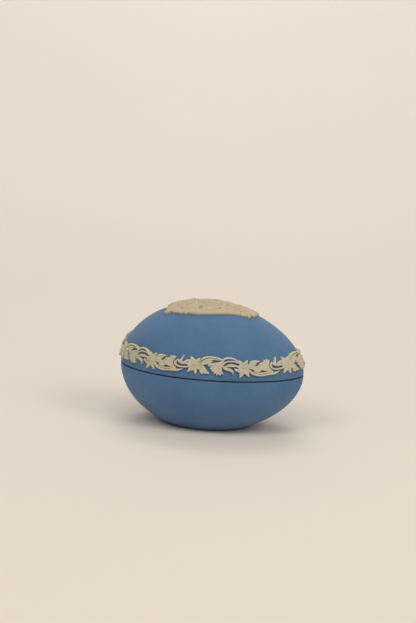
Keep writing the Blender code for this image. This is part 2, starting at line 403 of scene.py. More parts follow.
# ------------------------------------------------------------
# The ten flowers of the border.
# Open flowers of fine white stoneware, stained a little cream: each is pressed in a cut mould,
# wetted and laid on the lid just above its mouth. Lengths in a mould are millimetres.
# ------------------------------------------------------------
first_flower = 12.0 * MM
flower_pitch = 17.4 * MM
flower_count = 10
border_level = 5.2 * MM
rise_at_point = 0.65 * MM
mould_step = 0.1
edge_thickness = 0.58
bedding = -0.30
flower_boss = 0.5
petal_height = 0.98
crease_angle = math.radians(50)
crown_starts, crown_level = 36.0 * MM, 43.0 * MM
duller_white, brighter_white = (0.490, 0.455, 0.335, 1), (0.560, 0.530, 0.410, 1)
shaded_white, thin_white, ridge_highlight_white = (0.20, 0.21, 0.20, 1), (0.30, 0.33, 0.34, 1), (0.66, 0.64, 0.54, 1)
crease_dirt_and_shade, grain_brown, crown_tan = (0.24, 0.20, 0.13, 1), (0.34, 0.28, 0.18, 1), (0.460, 0.365, 0.225, 1)


def make_white_clay():
    """White stoneware of the applied relief."""
    material, tree, shader, coordinates = new_material("white_relief", roughness=0.72)
    cloud = between(tree, noise(tree, coordinates, 260.0, 3.0), 0.3, 0.7)
    body = mixed(tree, cloud, duller_white, brighter_white)
    height = add_node(tree, "ShaderNodeAttribute", attribute_name="relief").outputs["Fac"]
    low = between(tree, height, 0.0, 0.70, 1.0, 0.0)
    level = add_node(tree, "ShaderNodeSeparateXYZ", {0: coordinates}).outputs["Z"]
    toned = between(tree, level, crown_starts, crown_level)
    shaded = times(tree, low, between(tree, toned, 0.0, 1.0, 0.75, 0.15))
    body = mixed(tree, shaded, body, shaded_white)
    edge = add_node(tree, "ShaderNodeAttribute", attribute_name="rim").outputs["Fac"]
    thin = between(tree, edge, 0.0, 0.14, 1.0, 0.0)
    body = over(tree, body, thin, 0.30, thin_white)
    # The creases, where the clay lies below its surroundings, are darkened brown: partly dirt settled in them,
    # partly painted shade.
    hollow = add_node(tree, "ShaderNodeAttribute", attribute_name="hollow").outputs["Fac"]
    dirt_and_shade_mask = between(tree, hollow, 0.015, 0.12)
    body = over(tree, body, dirt_and_shade_mask, 0.55, crease_dirt_and_shade)
    # Painted highlight: the ridges that stand above the clay round them are lightened.
    ridge_highlight = between(tree, hollow, -0.08, -0.01, 1.0, 0.0)
    body = over(tree, body, ridge_highlight, 0.35, ridge_highlight_white)
    grain = between(tree, noise(tree, coordinates, 2400.0), 0.62, 0.72)
    body = over(tree, body, grain, 0.18, grain_brown)
    # The relief is mixed half way to tan towards the top of the crown.
    body = over(tree, body, toned, 0.5, crown_tan)
    tree.links.new(body, shader.inputs["Base Color"])
    tooth = add_node(tree, "ShaderNodeBump", {"Strength": 0.3, "Distance": 0.05 * MM,
                                              "Height": noise(tree, coordinates, 3000.0, 3.0)})
    tree.links.new(tooth.outputs[0], shader.inputs["Normal"])
    return material


white_clay = make_white_clay()


def new_mould(low, high):
    """An uncut mould between two corners."""
    u, v = np.meshgrid(*(np.arange(low[i], high[i] + mould_step, mould_step) for i in (0, 1)))
    return {"u": u, "v": v, "inside": np.full(u.shape, -1.0), "height": np.full(u.shape, edge_thickness)}


def smooth_route(route, per_span=14):
    """Points (u, v, half width) of a smooth curve through a route's own points."""
    route = np.array(route, dtype=float)
    padded = np.vstack([2 * route[0] - route[1], route, 2 * route[-1] - route[-2]])
    curve = []
    for a, b, c, d in zip(padded, padded[1:], padded[2:], padded[3:]):
        for t in np.arange(per_span) / per_span:
            curve.append(0.5 * (2 * b + (c - a) * t + (2 * a - 5 * b + 4 * c - d) * t ** 2
                                + (3 * b - a - 3 * c + d) * t ** 3))
    curve.append(route[-1])
    curve = np.array(curve)
    curve[:, 2] = np.maximum(curve[:, 2], 0.04)
    return curve


def along_route(mould, route):
    """The part of a mould near a route: how far each point is inside the line, and across it."""
    curve = smooth_route(route)
    margin = curve[:, 2].max() + 0.5
    u, v = mould["u"], mould["v"]
    columns = np.flatnonzero((u[0] > curve[:, 0].min() - margin) & (u[0] < curve[:, 0].max() + margin))
    rows = np.flatnonzero((v[:, 0] > curve[:, 1].min() - margin) & (v[:, 0] < curve[:, 1].max() + margin))
    window = (slice(rows[0], rows[-1] + 1), slice(columns[0], columns[-1] + 1))
    away = np.hypot(u[window][..., None] - curve[:, 0], v[window][..., None] - curve[:, 1])
    nearest = (curve[:, 2] - away).argmax(axis=-1)
    away = np.take_along_axis(away, nearest[..., None], axis=-1)[..., 0]
    return window, curve[nearest, 2] - away, np.clip(away / curve[nearest, 2], 0, 1)


def cut(mould, route, depth=1.0, vein=0.0):
    """Cuts one line into a mould: rounded across, with a fine vein down its middle if asked."""
    window, inside, across = along_route(mould, route)
    height = depth * (0.45 + 0.55 * np.sqrt(1 - across ** 2)) - vein * np.exp(-(across / 0.2) ** 2)
    height = np.where(inside > 0, np.maximum(height, edge_thickness), edge_thickness)
    mould["height"][window] = np.maximum(mould["height"][window], height)
    mould["inside"][window] = np.maximum(mould["inside"][window], inside)


def leave_gap(mould, route):
    """Leaves a gap through which the ground shows."""
    window, inside, _ = along_route(mould, route)
    mould["inside"][window] = np.minimum(mould["inside"][window], -inside)


def score(mould, route, depth=0.3):
    """Scores a shallow groove between two parts of an ornament."""
    window, inside, across = along_route(mould, route)
    groove = np.where(inside > 0, depth * (1 - across ** 2), 0)
    mould["height"][window] = np.maximum(mould["height"][window] - groove, edge_thickness)


def turned(route, centre, degrees):
    """A route turned about the origin and moved to a centre."""
    c, s = math.cos(math.radians(degrees)), math.sin(math.radians(degrees))
    return [(centre[0] + c * u - s * v, centre[1] + s * u + c * v, half) for u, v, half in route]


def dot(u, v, half):
    """A route that makes one round boss or prick."""
    return [(u - 0.05, v, half), (u + 0.05, v, half)]


def softened(height, times=1):
    """A height field with its sharpest lines rounded off as soft clay wears."""
    for _ in range(times):
        padded = np.pad(height, 1, mode="edge")
        cross = (padded[:-2, 1:-1] + padded[2:, 1:-1] + padded[1:-1, :-2] + padded[1:-1, 2:]) / 4
        height = 0.5 * height + 0.5 * cross
    return height


def press(mould, name):
    """Flat mesh of a pressed ornament: the cut face, a straight edge and a flat back."""
    field = mould["inside"].ravel()
    rows, columns = mould["inside"].shape
    grid = np.arange(rows * columns).reshape(rows, columns)
    a, b, c, d = (corner.ravel() for corner in (grid[:-1, :-1], grid[:-1, 1:], grid[1:, 1:], grid[1:, :-1]))
    triangles = np.concatenate([np.stack([a, b, c], 1), np.stack([a, c, d], 1)])
    kept = field > 0
    count = kept[triangles].sum(axis=1)

    def odd_first(cut_triangles, odd):
        """Rolls each triangle so that its odd corner comes first."""
        first = odd[cut_triangles].argmax(axis=1)
        rows_of = np.arange(len(cut_triangles))
        return np.stack([cut_triangles[rows_of, (first + i) % 3] for i in range(3)], axis=1)

    tips = odd_first(triangles[count == 1], kept)
    trunks = odd_first(triangles[count == 2], ~kept)
    pairs = np.concatenate([tips[:, [0, 1]], tips[:, [0, 2]], trunks[:, [0, 1]], trunks[:, [0, 2]]])
    crossed, where = np.unique(np.sort(pairs, axis=1), axis=0, return_inverse=True)
    where = where.ravel() + rows * columns
    share = np.clip(field[crossed[:, 0]] / (field[crossed[:, 0]] - field[crossed[:, 1]]), 0.05, 0.95)
    t, k = len(tips), len(trunks)
    tip_b, tip_c = where[:t], where[t:2 * t]
    trunk_b, trunk_c = where[2 * t:2 * t + k], where[2 * t + k:]
    face = np.concatenate([
        triangles[count == 3],
        np.stack([tips[:, 0], tip_b, tip_c], 1),
        np.stack([trunk_b, trunks[:, 1], trunks[:, 2]], 1),
        np.stack([trunk_b, trunks[:, 2], trunk_c], 1)])
    flat = np.stack([mould["u"].ravel(), mould["v"].ravel()], 1)
    crossing = flat[crossed[:, 0]] * (1 - share)[:, None] + flat[crossed[:, 1]] * share[:, None]
    top_height = np.concatenate([softened(mould["height"]).ravel(), np.full(len(crossed), edge_thickness)])
    top_rim = np.concatenate([np.clip(field, 0, 1), np.zeros(len(crossed))])
    hollow = softened(mould["height"], 12) - softened(mould["height"])
    top_hollow = np.concatenate([hollow.ravel(), np.zeros(len(crossed))])
    flat = np.concatenate([flat, crossing])
    used, face = np.unique(face, return_inverse=True)
    face = face.reshape(-1, 3)
    flat, top_height, top_rim, top_hollow = flat[used], top_height[used], top_rim[used], top_hollow[used]
    total = len(used)
    edges = np.concatenate([face[:, [0, 1]], face[:, [1, 2]], face[:, [2, 0]]])
    there = edges[:, 0] * total + edges[:, 1]
    back = edges[:, 1] * total + edges[:, 0]
    rim = edges[~np.isin(there, back)]
    sides = np.concatenate([np.stack([rim[:, 1], rim[:, 0], rim[:, 0] + total], 1),
                            np.stack([rim[:, 1], rim[:, 0] + total, rim[:, 1] + total], 1)])
    faces = np.concatenate([face, face[:, ::-1] + total, sides])
    top = np.column_stack([flat, top_height])
    bottom = np.column_stack([flat, np.full(total, bedding)])
    mesh = bpy.data.meshes.new(name)
    mesh.from_pydata((np.concatenate([top, bottom]) * MM).tolist(), [], faces.tolist())
    for label, values in (("relief", top_height), ("rim", top_rim), ("hollow", top_hollow)):
        attribute = mesh.attributes.new(label, "FLOAT", "POINT")
        attribute.data.foreach_set("value", np.concatenate([values, np.zeros(total)]).astype(np.float32))
    return mesh


def cut_petals(mould, centre, petals):
    """Cuts an open flower: pointed petals (degrees, length, half width) round a pricked boss."""
    for degrees, length, half in petals:
        route = [(0.1 * length, 0, 0.55 * half), (0.32 * length, 0, 0.9 * half), (0.52 * length, 0, half),
                 (0.78 * length, 0, 0.60 * half), (length, 0, 0.10)]
        cut(mould, turned(route, centre, degrees), petal_height, vein=0.22)
    u, v = centre
    cut(mould, [(u - 0.1, v, flower_boss), (u + 0.1, v, flower_boss)], depth=1.28)
    score(mould, [(u - 0.15, v, 0.2), (u + 0.15, v, 0.2)], depth=0.5)


def make_border_tree():
    """Tree that lays a flat ornament round the lid at a distance from the blunt end."""
    sizes = [*egg_form, "Distance", "Border level", "Rise at the point"]
    tree, given, result = new_tree("Lay round the lid", sizes)
    line = add_node(tree, "GeometryNodeCurvePrimitiveLine", {"Start": (0, 0, 0), "End": (1, 0, 0)})
    fine = add_node(tree, "GeometryNodeResampleCurve", {"Curve": line.outputs[0], "Count": 1600})
    along_line = tree.nodes.new("GeometryNodeSplineParameter").outputs["Factor"]
    line_turn = add_node(tree, "ShaderNodeMapRange", {
        0: along_line, 1: 0.0, 2: 1.0, 3: math.pi, 4: 3 * math.pi + 1.0}).outputs[0]
    stored = add_node(tree, "GeometryNodeStoreNamedAttribute", {
        "Geometry": fine.outputs[0], "Name": "turn", "Value": line_turn}, data_type="FLOAT", domain="POINT")
    kept_turn = number_attribute(tree, "turn")
    line_width = width_nodes(tree, maths(tree, "COSINE", kept_turn), given)
    line_rise = maths(tree, "DIVIDE", given.outputs["Border level"], line_width)
    nothing = times(tree, line_rise, 0.0)
    border_line = add_node(tree, "GeometryNodeSetPosition", {
        "Geometry": stored.outputs[0],
        "Position": egg_place(tree, given, direction_nodes(tree, kept_turn, line_rise), nothing)})
    flat = add_node(tree, "ShaderNodeSeparateXYZ", {0: tree.nodes.new("GeometryNodeInputPosition").outputs[0]})
    sample = add_node(tree, "GeometryNodeSampleCurve", {
        "Curves": border_line.outputs[0], "Value": kept_turn,
        "Length": maths(tree, "ADD", flat.outputs[0], given.outputs["Distance"])},
        mode="LENGTH", data_type="FLOAT", use_all_curves=True)
    turn = sample.outputs["Value"]
    width = width_nodes(tree, maths(tree, "COSINE", turn), given)
    to_point = maths(tree, "POWER", maths(tree, "MAXIMUM", maths(tree, "COSINE", turn), 0.0), 6.0)
    level = maths(tree, "ADD", flat.outputs[1],
                  times(tree, to_point, given.outputs["Rise at the point"]))
    direction = direction_nodes(tree, turn, maths(tree, "DIVIDE", level, width))
    outwards = times(tree, flat.outputs[2], -1.0)
    laid = add_node(tree, "GeometryNodeSetPosition", {
        "Geometry": given.outputs["Geometry"], "Position": egg_place(tree, given, direction, outwards)})
    return end_tree(tree, given, result, laid.outputs[0])


border_tree = make_border_tree()


def fire_on(piece, node):
    """Fixes a finished ornament to the lid."""
    piece.data.set_sharp_from_angle(angle=crease_angle)
    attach(piece, "lid")
    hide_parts(node)


def lay_on_border(name, flat, distance, node):
    """Lays an ornament on the lid at a distance round from the blunt end."""
    piece = make_piece(name, flat, border_tree, {
        **egg_form, "Distance": distance, "Border level": border_level,
        "Rise at the point": rise_at_point, "Material": white_clay})
    fire_on(piece, node)


def flower_place(flower):
    """Distance of a flower round from the blunt end."""
    return first_flower + flower * flower_pitch


# two flowers in turn, the second a little higher and turned the other way
low_flower_mould = new_mould((-4.2, 0.8), (4.2, 9.8))
cut_petals(low_flower_mould, (0, 5.2), [
    (88, 1.9, .55), (275, 1.9, .55), (10, 2.7, .70), (205, 2.7, .70), (165, 2.6, .70), (330, 2.8, .65),
    (116, 3.05, .76), (59, 3.25, .78), (301, 3.6, .74), (247, 3.65, .80)])
low_flower_flat = press(low_flower_mould, "low_flower_flat")
high_flower_mould = new_mould((-4.2, 0.8), (4.2, 9.8))
cut_petals(high_flower_mould, (0, 5.55), [
    (90, 2.0, .55), (252, 2.0, .55), (5, 2.6, .70), (325, 2.7, .62), (185, 2.8, .74), (155, 2.7, .70),
    (122, 3.35, .86), (55, 3.15, .86), (278, 3.2, .70), (227, 3.6, .80)])
high_flower_flat = press(high_flower_mould, "high_flower_flat")
for flower in range(flower_count):
    flat = low_flower_flat if flower % 2 == 1 else high_flower_flat
    number = f"{flower + 1:02d}"
    lay_on_border("border_flower_head_" + number, flat, flower_place(flower), "border_flower_" + number)


# ------------------------------------------------------------
# The five arched sprays of the border.
# Each is one sprig of white clay between two flowers: two pairs of stems that arch over a bud,
# a hanging bell flower and long leaves, with gaps through which the blue shows.
# ------------------------------------------------------------
stem_height = 1.06
bell_rib = 0.56


def cut_bell(mould, throat, tips):
    """Cuts a bell flower seen from the side: ribs fanning from its throat to a toothed mouth."""
    for tip in tips:
        near, far = (tuple(throat[i] + share * (tip[i] - throat[i]) for i in (0, 1)) for share in (0.45, 0.82))
        rib = [(*throat, 0.32), (*near, 0.85 * bell_rib), (*far, bell_rib), (*tip, 0.12)]
        cut(mould, rib, petal_height, vein=0.16)


arch_mould = new_mould((-0.5, 1.2), (17.8, 10.0))
arch_lines = [
    # leaf and lobe below the bud, then the clay between the bud and the arch
    ([(2.0, 4.8, .4), (2.2, 4.0, .5), (2.5, 3.2, .45), (3.0, 2.7, .2)], 0.80),
    ([(2.5, 5.5, .5), (2.8, 4.7, .85), (3.4, 3.8, .85), (4.3, 3.2, .5), (5.25, 2.95, .1)], 0.95, 0.20),
    ([(2.0, 6.0, .5), (3.2, 6.5, .75), (4.4, 6.7, .65), (5.4, 6.6, .45)], 0.78),
    ([(4.2, 6.9, .5), (5.2, 7.0, .5), (6.1, 7.1, .35)], 0.80),
    ([(9.3, 7.0, .4), (7.8, 6.5, .4), (6.4, 6.15, .48), (5.2, 6.15, .45)], 0.95),
    ([(2.8, 6.12, .62), (3.0, 6.18, .62)], 1.25),
    # first arch: two stems side by side
    ([(2.4, 6.4, .35), (3.4, 7.3, .42), (4.8, 7.72, .42), (6.2, 7.92, .36), (7.6, 8.0, .32), (9.0, 7.85, .3)],
     0.85),
    ([(0.9, 5.6, .25), (1.6, 6.9, .33), (2.6, 7.85, .36), (3.9, 8.45, .38), (5.4, 8.62, .38), (7.0, 8.58, .38),
      (8.4, 8.25, .38), (9.8, 7.8, .4)], 1.0),
    # second arch: outer stem and inner stem
    ([(9.9, 6.0, .4), (10.6, 6.8, .36), (11.6, 7.3, .3), (12.8, 7.45, .3), (14.0, 7.4, .33),
      (15.3, 7.0, .33)],
     0.86),
    ([(9.8, 6.9, .35), (10.4, 8.0, .38), (11.5, 8.5, .38), (12.8, 8.55, .38), (14.1, 8.3, .38),
      (15.2, 7.6, .38),
      (16.2, 6.8, .35)], 1.0),
    # long leaf, curled leaf and small leaf under it
    ([(10.9, 5.5, .3), (12.3, 5.95, .5), (13.5, 6.0, .55), (14.6, 5.9, .4), (15.6, 5.6, .2)], 0.92, 0.16),
    ([(9.9, 5.4, .5), (10.8, 4.9, .5), (11.9, 4.62, .55), (12.8, 4.35, .5), (13.4, 3.8, .34),
      (13.55, 2.9, .08)],
     0.98, 0.14),
    ([(14.1, 4.95, .2), (14.7, 4.6, .45), (15.5, 4.1, .42), (16.0, 3.8, .2)], 0.82, 0.12),
]
for route, depth, *vein in arch_lines:
    cut(arch_mould, route, depth * stem_height, *vein)
cut_bell(arch_mould, (9.5, 6.9), [(4.7, 5.65), (5.5, 4.5), (6.2, 3.7), (6.95, 3.0), (7.9, 2.45), (9.0, 2.5)])
cut(arch_mould, [(9.6, 7.0, .5), (9.0, 5.6, .55), (9.2, 4.0, .5), (10.2, 2.85, .14)], 1.1, 0.2)
for gap in (
        [(1.35, 6.5, .1), (1.75, 7.2, .13), (2.2, 8.0, .1)],
        [(1.85, 5.75, .2), (2.05, 5.95, .2)],
        [(6.15, 6.85, .12), (7.0, 7.08, .26), (7.9, 7.35, .24), (8.7, 7.62, .08)],
        [(10.95, 7.62, .08), (11.6, 7.82, .17), (12.6, 7.92, .18), (13.7, 7.95, .08)],
        [(10.55, 5.85, .08), (11.4, 6.5, .17), (12.4, 6.9, .19), (13.6, 6.98, .19), (14.8, 6.85, .17),
         (15.4, 6.45, .08)],
        [(9.85, 5.35, .08), (9.85, 4.6, .16), (10.15, 3.7, .2), (10.5, 3.2, .22)],
        [(12.4, 5.17, .07), (13.1, 5.15, .14), (13.9, 4.95, .2)]):
    leave_gap(arch_mould, gap)
score(arch_mould, [(2.6, 7.3, .2), (3.9, 8.0, .2), (5.4, 8.24, .18), (7.0, 8.27, .18), (8.6, 8.02, .18)], 0.4)
arch_flat = press(arch_mould, "arch_flat")
for spray in range(flower_count // 2):
    lay_on_border(f"arched_stems_{spray + 1}", arch_flat, flower_place(2 * spray),
                  f"border_arch_spray_{spray + 1}")


# ------------------------------------------------------------
# The four sagging sprays of the border.
# The sprigs between the other flowers: two strands that sag under a bell flower standing up,
# and a crescent stem with a thorn beside it.
# ------------------------------------------------------------
bell_mould = new_mould((-0.5, 1.2), (18.2, 10.0))
bell_lines = [
    # two strands that sag from flower to flower
    ([(2.2, 4.5, .3), (3.2, 3.75, .3), (4.5, 3.4, .36), (6.0, 3.3, .36), (7.6, 3.4, .33), (9.0, 3.5, .3),
      (10.2, 3.5, .3)], 0.85),
    ([(1.2, 4.9, .3), (2.1, 4.15, .32), (3.0, 3.3, .36), (4.3, 2.85, .38), (5.7, 2.68, .4), (7.3, 2.75, .4),
      (8.9, 2.95, .36), (10.6, 3.08, .45), (11.8, 3.3, .36), (13.1, 3.8, .1)], 1.0),
    # leaves beside the bell
    ([(1.6, 5.4, .4), (3.0, 5.3, .6), (4.4, 5.2, .75), (5.8, 4.9, .6), (7.0, 4.6, .3)], 0.86, 0.16),
    ([(4.0, 4.3, .45), (5.2, 4.2, .5), (6.0, 4.3, .3)], 0.80),
    ([(2.2, 5.6, .5), (3.4, 6.1, .65), (4.4, 6.5, .55)], 0.90),
    ([(8.5, 5.4, .6), (7.0, 6.1, .7), (6.2, 6.7, .5)], 0.90),
    ([(7.6, 5.1, .6), (6.2, 5.6, .65), (5.5, 5.9, .45)], 0.88),
    ([(2.0, 5.9, .5), (2.9, 6.8, .75), (3.9, 7.3, .62), (5.1, 7.45, .42), (6.2, 7.65, .1)], 0.98, 0.16),
    # crescent round the bell, with its thorn and the leaf behind it
    ([(13.3, 6.2, .3), (14.2, 6.7, .45), (15.2, 6.85, .42), (16.2, 6.5, .4)], 0.86, 0.12),
    ([(11.8, 6.2, .45), (12.2, 7.0, .42), (12.6, 7.8, .36), (12.9, 8.45, .22)], 0.98),
    ([(10.9, 6.8, .3), (11.6, 6.2, .5), (12.8, 5.85, .5), (14.0, 5.8, .4), (15.3, 5.9, .4),
      (16.4, 5.9, .3)],
     0.90),
    ([(10.9, 6.9, .25), (10.35, 6.3, .3), (10.2, 5.5, .3), (10.7, 4.85, .3), (11.9, 4.45, .3),
      (13.6, 4.5, .3),
      (15.2, 4.7, .3), (16.2, 5.0, .25)], 0.98),
]
for route, depth, *vein in bell_lines:
    cut(bell_mould, route, depth * stem_height, *vein)
cut_bell(bell_mould, (10.4, 3.6), [(5.7, 5.25), (6.2, 6.25), (7.0, 7.15), (7.85, 7.9), (8.9, 8.05)])
cut(bell_mould, [(10.4, 3.6, .35), (9.5, 4.7, .5), (8.95, 5.9, .55), (9.3, 6.9, .45),
                 (10.0, 7.8, .12)], 1.1, 0.2)
for gap in (
        [(2.1, 6.85, .12), (2.3, 7.35, .18), (2.45, 8.0, .22)],
        [(2.3, 4.9, .14), (2.8, 4.45, .21), (3.4, 4.0, .17), (4.1, 3.78, .08)],
        [(4.45, 6.1, .2), (5.0, 6.32, .27), (5.7, 6.85, .2), (6.4, 7.5, .15)],
        [(6.3, 4.3, .1), (6.9, 4.1, .21), (7.6, 3.95, .21), (8.3, 3.75, .08)],
        [(10.2, 7.3, .22), (9.65, 6.6, .18), (9.45, 5.7, .17), (9.75, 4.9, .15), (10.3, 4.3, .13)],
        [(10.5, 4.05, .12), (11.3, 3.93, .22), (12.4, 3.95, .22)],
        [(10.5, 5.35, .08), (11.2, 5.15, .18), (12.4, 5.05, .2), (13.8, 5.1, .2), (15.0, 5.27, .1)],
        [(12.75, 6.75, .12), (13.1, 7.1, .2), (13.4, 7.6, .25)]):
    leave_gap(bell_mould, gap)
score(bell_mould, [(3.6, 3.4, .18), (5.0, 3.05, .2), (6.6, 3.02, .2), (8.4, 3.2, .18)], 0.4)
bell_flat = press(bell_mould, "bell_flat")
for spray in range(flower_count // 2 - 1):
    lay_on_border(f"sagging_stems_{spray + 1}", bell_flat, flower_place(2 * spray + 1),
                  f"border_bell_spray_{spray + 1}")


# ------------------------------------------------------------
# The palmette.
# The border's two ends don't quite meet at the blunt end of the egg, and a fan of veined lobes
# on a pair of scrolls fills the space, standing taller than the flowers.
# ------------------------------------------------------------
palmette_mould = new_mould((-10.8, 1.0), (10.8, 13.6))
lobe_count = 7
lobe_spread = 25
lobe_reach = 7.2
lobe_widening = 1.7
lobe_root = (0, 3.3)
for lobe in range(lobe_count):
    lean = (lobe - (lobe_count - 1) / 2) * lobe_spread
    length = lobe_reach + lobe_widening * math.sin(math.radians(lean)) ** 2
    route = [(1.0, 0, 0.30), (0.4 * length, 0, 0.80), (0.72 * length, 0, 1.28), (0.88 * length, 0, 1.0),
             (length, 0, 0.25)]
    cut(palmette_mould, turned(route, lobe_root, 90 - lean), depth=1.1, vein=0.34)
for side in (-1, 1):
    scroll = [(0.6, 2.9, .5), (3.2, 2.4, .48), (5.8, 2.4, .45), (8.0, 2.9, .4), (9.2, 4.0, .36),
              (8.9, 5.0, .3),
              (8.1, 4.9, .26)]
    cut(palmette_mould, [(side * p[0], p[1], p[2]) for p in scroll], depth=1.1)
cut(palmette_mould, dot(0, 3.2, 1.35), depth=1.3)
score(palmette_mould, dot(0, 3.2, 0.45), depth=0.35)

# the palmette stands where the border line closes, so its place is the length of that line
line_turns = np.linspace(0, 2 * math.pi, 1441)
line_rises = border_level / (egg_form["Half width"] * narrowing(np.cos(line_turns)))
along_line = np.cos(line_rises) * np.cos(line_turns)
line_widths = egg_form["Half width"] * narrowing(along_line)
border_line = np.stack([egg_form["Half length"] * along_line,
                        line_widths * np.cos(line_rises) * np.sin(line_turns),
                        line_widths * np.sin(line_rises)], axis=1)
border_length = np.linalg.norm(np.diff(border_line, axis=0), axis=1).sum()
lay_on_border("palmette", press(palmette_mould, "palmette_flat"), border_length, "blunt_end_palmette")


# ------------------------------------------------------------
# The ground strip on the crown.
# A low bank of white clay with a straight near edge and tufts of grass along its top. With the
# basket, the bouquet and two leaf sprays it makes one picture on the top of the lid.
# ------------------------------------------------------------
def make_crown_tree():
    """Tree that lays a flat ornament, drawn in plan, on the crown of the lid."""
    tree, given, result = new_tree("Lay on the crown", [*egg_form])
    flat = add_node(tree, "ShaderNodeSeparateXYZ", {0: tree.nodes.new("GeometryNodeInputPosition").outputs[0]})
    along = maths(tree, "DIVIDE", flat.outputs[0], given.outputs["Half length"])
    width = width_nodes(tree, along, given)
    across = maths(tree, "DIVIDE", flat.outputs[1], width)
    used = maths(tree, "ADD", times(tree, along, along), times(tree, across, across))
    up = maths(tree, "SQRT", maths(tree, "SUBTRACT", 1.0, used))
    direction = add_node(tree, "ShaderNodeCombineXYZ", {0: along, 1: across, 2: up}).outputs[0]
    outwards = times(tree, flat.outputs[2], -1.0)
    laid = add_node(tree, "GeometryNodeSetPosition", {
        "Geometry": given.outputs["Geometry"], "Position": egg_place(tree, given, direction, outwards)})
    return end_tree(tree, given, result, laid.outputs[0])


crown_tree = make_crown_tree()


def lay_on_crown(name, mould, node):
    """Presses an ornament and lays it on the crown."""
    piece = make_piece(name, press(mould, name + "_flat"), crown_tree, {**egg_form, "Material": white_clay})
    fire_on(piece, node)


ground_mould = new_mould((-6.7, -13.2), (11.5, -4.0))
cut(ground_mould, [(-5.0, -9.4, 1.4), (-2.5, -9.4, 1.3), (1.5, -8.7, 1.4), (5.0, -7.3, 1.4), (7.6, -6.1, 1.2),
                   (9.2, -5.6, .7)], 0.74)
cut(ground_mould, [(-5.3, -10.4, .9), (-3.6, -10.5, .95), (-1.0, -10.3, 1.0), (1.8, -9.5, 1.0),
                   (4.6, -8.4, 1.0),
                   (7.2, -7.1, .95), (9.3, -6.2, .7)], 0.80)
cut(ground_mould, [(-5.0, -11.10, .28), (-2.0, -11.10, .28), (1.3, -10.3, .28), (4.7, -9.05, .28),
                   (7.3, -7.7, .28),
                   (10.0, -6.0, .2)], 0.95)
cut(ground_mould, [(-4.2, -8.2, 1.2), (-4.3, -6.4, 1.0), (-4.9, -4.9, .7)], 0.70)
for tuft in range(15):
    share = tuft / 14
    x = -5.0 + 14.0 * share
    y = -10.3 + 3.9 * share ** 1.4
    for lean in (-28, 0, 26):
        blade = [(x, y - 0.5, .26), (x + 0.012 * lean, y + 0.5, .22), (x + 0.030 * lean, y + 1.5, .08)]
        cut(ground_mould, blade, 0.88)
score(ground_mould, [(-5.4, -10.7, .2), (-2.2, -10.7, .2), (1.5, -9.85, .2), (4.9, -8.6, .2),
                     (7.6, -7.2, .2),
                     (9.6, -6.1, .15)], 0.16)
lay_on_crown("ground_strip", ground_mould, "crown_ground")


# ------------------------------------------------------------
# The basket on the crown.
# Pressed white clay: upright staves bound by three plaited bands, a thick rolled rim and a low
# foot, set on the ground strip.
# ------------------------------------------------------------
basket_mould = new_mould((-6.4, -9.6), (6.4, 0.4))
for stave in range(-5, 6):
    cut(basket_mould, [(0.30 * stave, -7.9, .36), (0.62 * stave, -6.2, .42), (0.88 * stave, -4.2, .46),
                       (0.98 * stave, -1.9, .46)], 1.0)
for level, half_span in ((-6.6, 2.9), (-5.0, 4.0), (-3.4, 4.7)):
    score(basket_mould, [(-half_span, level + .35, .22), (0, level, .22), (half_span, level + .35, .22)], 0.35)
cut(basket_mould, [(-5.3, -1.4, .5), (-2.6, -1.75, .52), (0, -1.85, .54), (2.6, -1.75, .52),
                   (5.3, -1.4, .5)], 1.2)
cut(basket_mould, [(-2.5, -8.35, .5), (0, -8.5, .55), (2.5, -8.3, .5)], 1.1)
lay_on_crown("flower_basket", basket_mould, "crown_basket")


# ------------------------------------------------------------
# The bouquet in the basket.
# Pressed white clay: one large full flower, five smaller ones and four buds in front of a fan
# of pointed leaves, spilling over the basket's rim.
# ------------------------------------------------------------
def cut_leaf(mould, base, degrees, length, half, depth=1.1):
    """Cuts a pointed leaf with a vein."""
    route = [(0, 0, 0.35 * half), (0.3 * length, 0.04 * length, 0.95 * half),
             (0.6 * length, 0.03 * length, half),
             (0.85 * length, 0, 0.55 * half), (length, -0.04 * length, 0.10)]
    cut(mould, turned(route, base, degrees), depth, vein=0.22)


def cut_rose(mould, x, y, radius, petals=7, depth=1.2):
    """Cuts a full flower: a ring of round petals round a smaller ring and a pricked middle."""
    for ring_radius, half, turn, height in ((0.62, 0.42, 0.0, depth - 0.12), (0.30, 0.26, 0.5, depth + 0.06)):
        for petal in range(petals):
            degrees = 360 * (petal + turn) / petals
            near, far, breadth = ring_radius * 0.75 * radius, ring_radius * radius, half * radius
            cut(mould, turned([(near, 0, breadth), (far, 0, breadth)], (x, y), degrees), height)
            between_petals = [(0.3 * radius, 0, 0.16), (radius, 0, 0.20)]
            score(mould, turned(between_petals, (x, y), degrees + 180 / petals), 0.35)
    score(mould, dot(x, y, 0.3), 0.4)


bouquet_mould = new_mould((-9.2, -2.2), (9.2, 12.6))
cut(bouquet_mould, [(-5.2, -0.9, .6), (-2.5, -1.0, .7), (0, -1.0, .7), (2.5, -1.0, .7), (5.2, -0.9, .6)], 0.80)
for degrees in range(-20, 201, 18):
    reach = 4.6 + 1.5 * math.sin(math.radians(degrees)) ** 2
    base = (0.82 * reach * math.cos(math.radians(degrees)), 3.0 + 0.8 * reach * math.sin(math.radians(degrees)))
    cut_leaf(bouquet_mould, base, degrees, 3.6, 0.95, depth=0.85)
for x, y, radius in ((-4.4, 1.2, 2.1), (4.4, 1.2, 2.1), (-3.9, 5.0, 2.1), (4.0, 5.0, 2.1), (-0.1, 7.2, 2.2)):
    cut_rose(bouquet_mould, x, y, radius, depth=1.02)
for x, y in ((-1.9, 8.9), (2.0, 8.9), (-5.9, 3.1), (6.0, 3.1)):
    cut(bouquet_mould, [(x - .1, y, .85), (x + .1, y, .85)], 0.98)
    score(bouquet_mould, [(x - .5, y - .3, .14), (x + .5, y + .3, .14)], 0.3)
cut_rose(bouquet_mould, 0.0, 2.5, 3.1, petals=9, depth=1.2)
lay_on_crown("bouquet", bouquet_mould, "crown_bouquet")


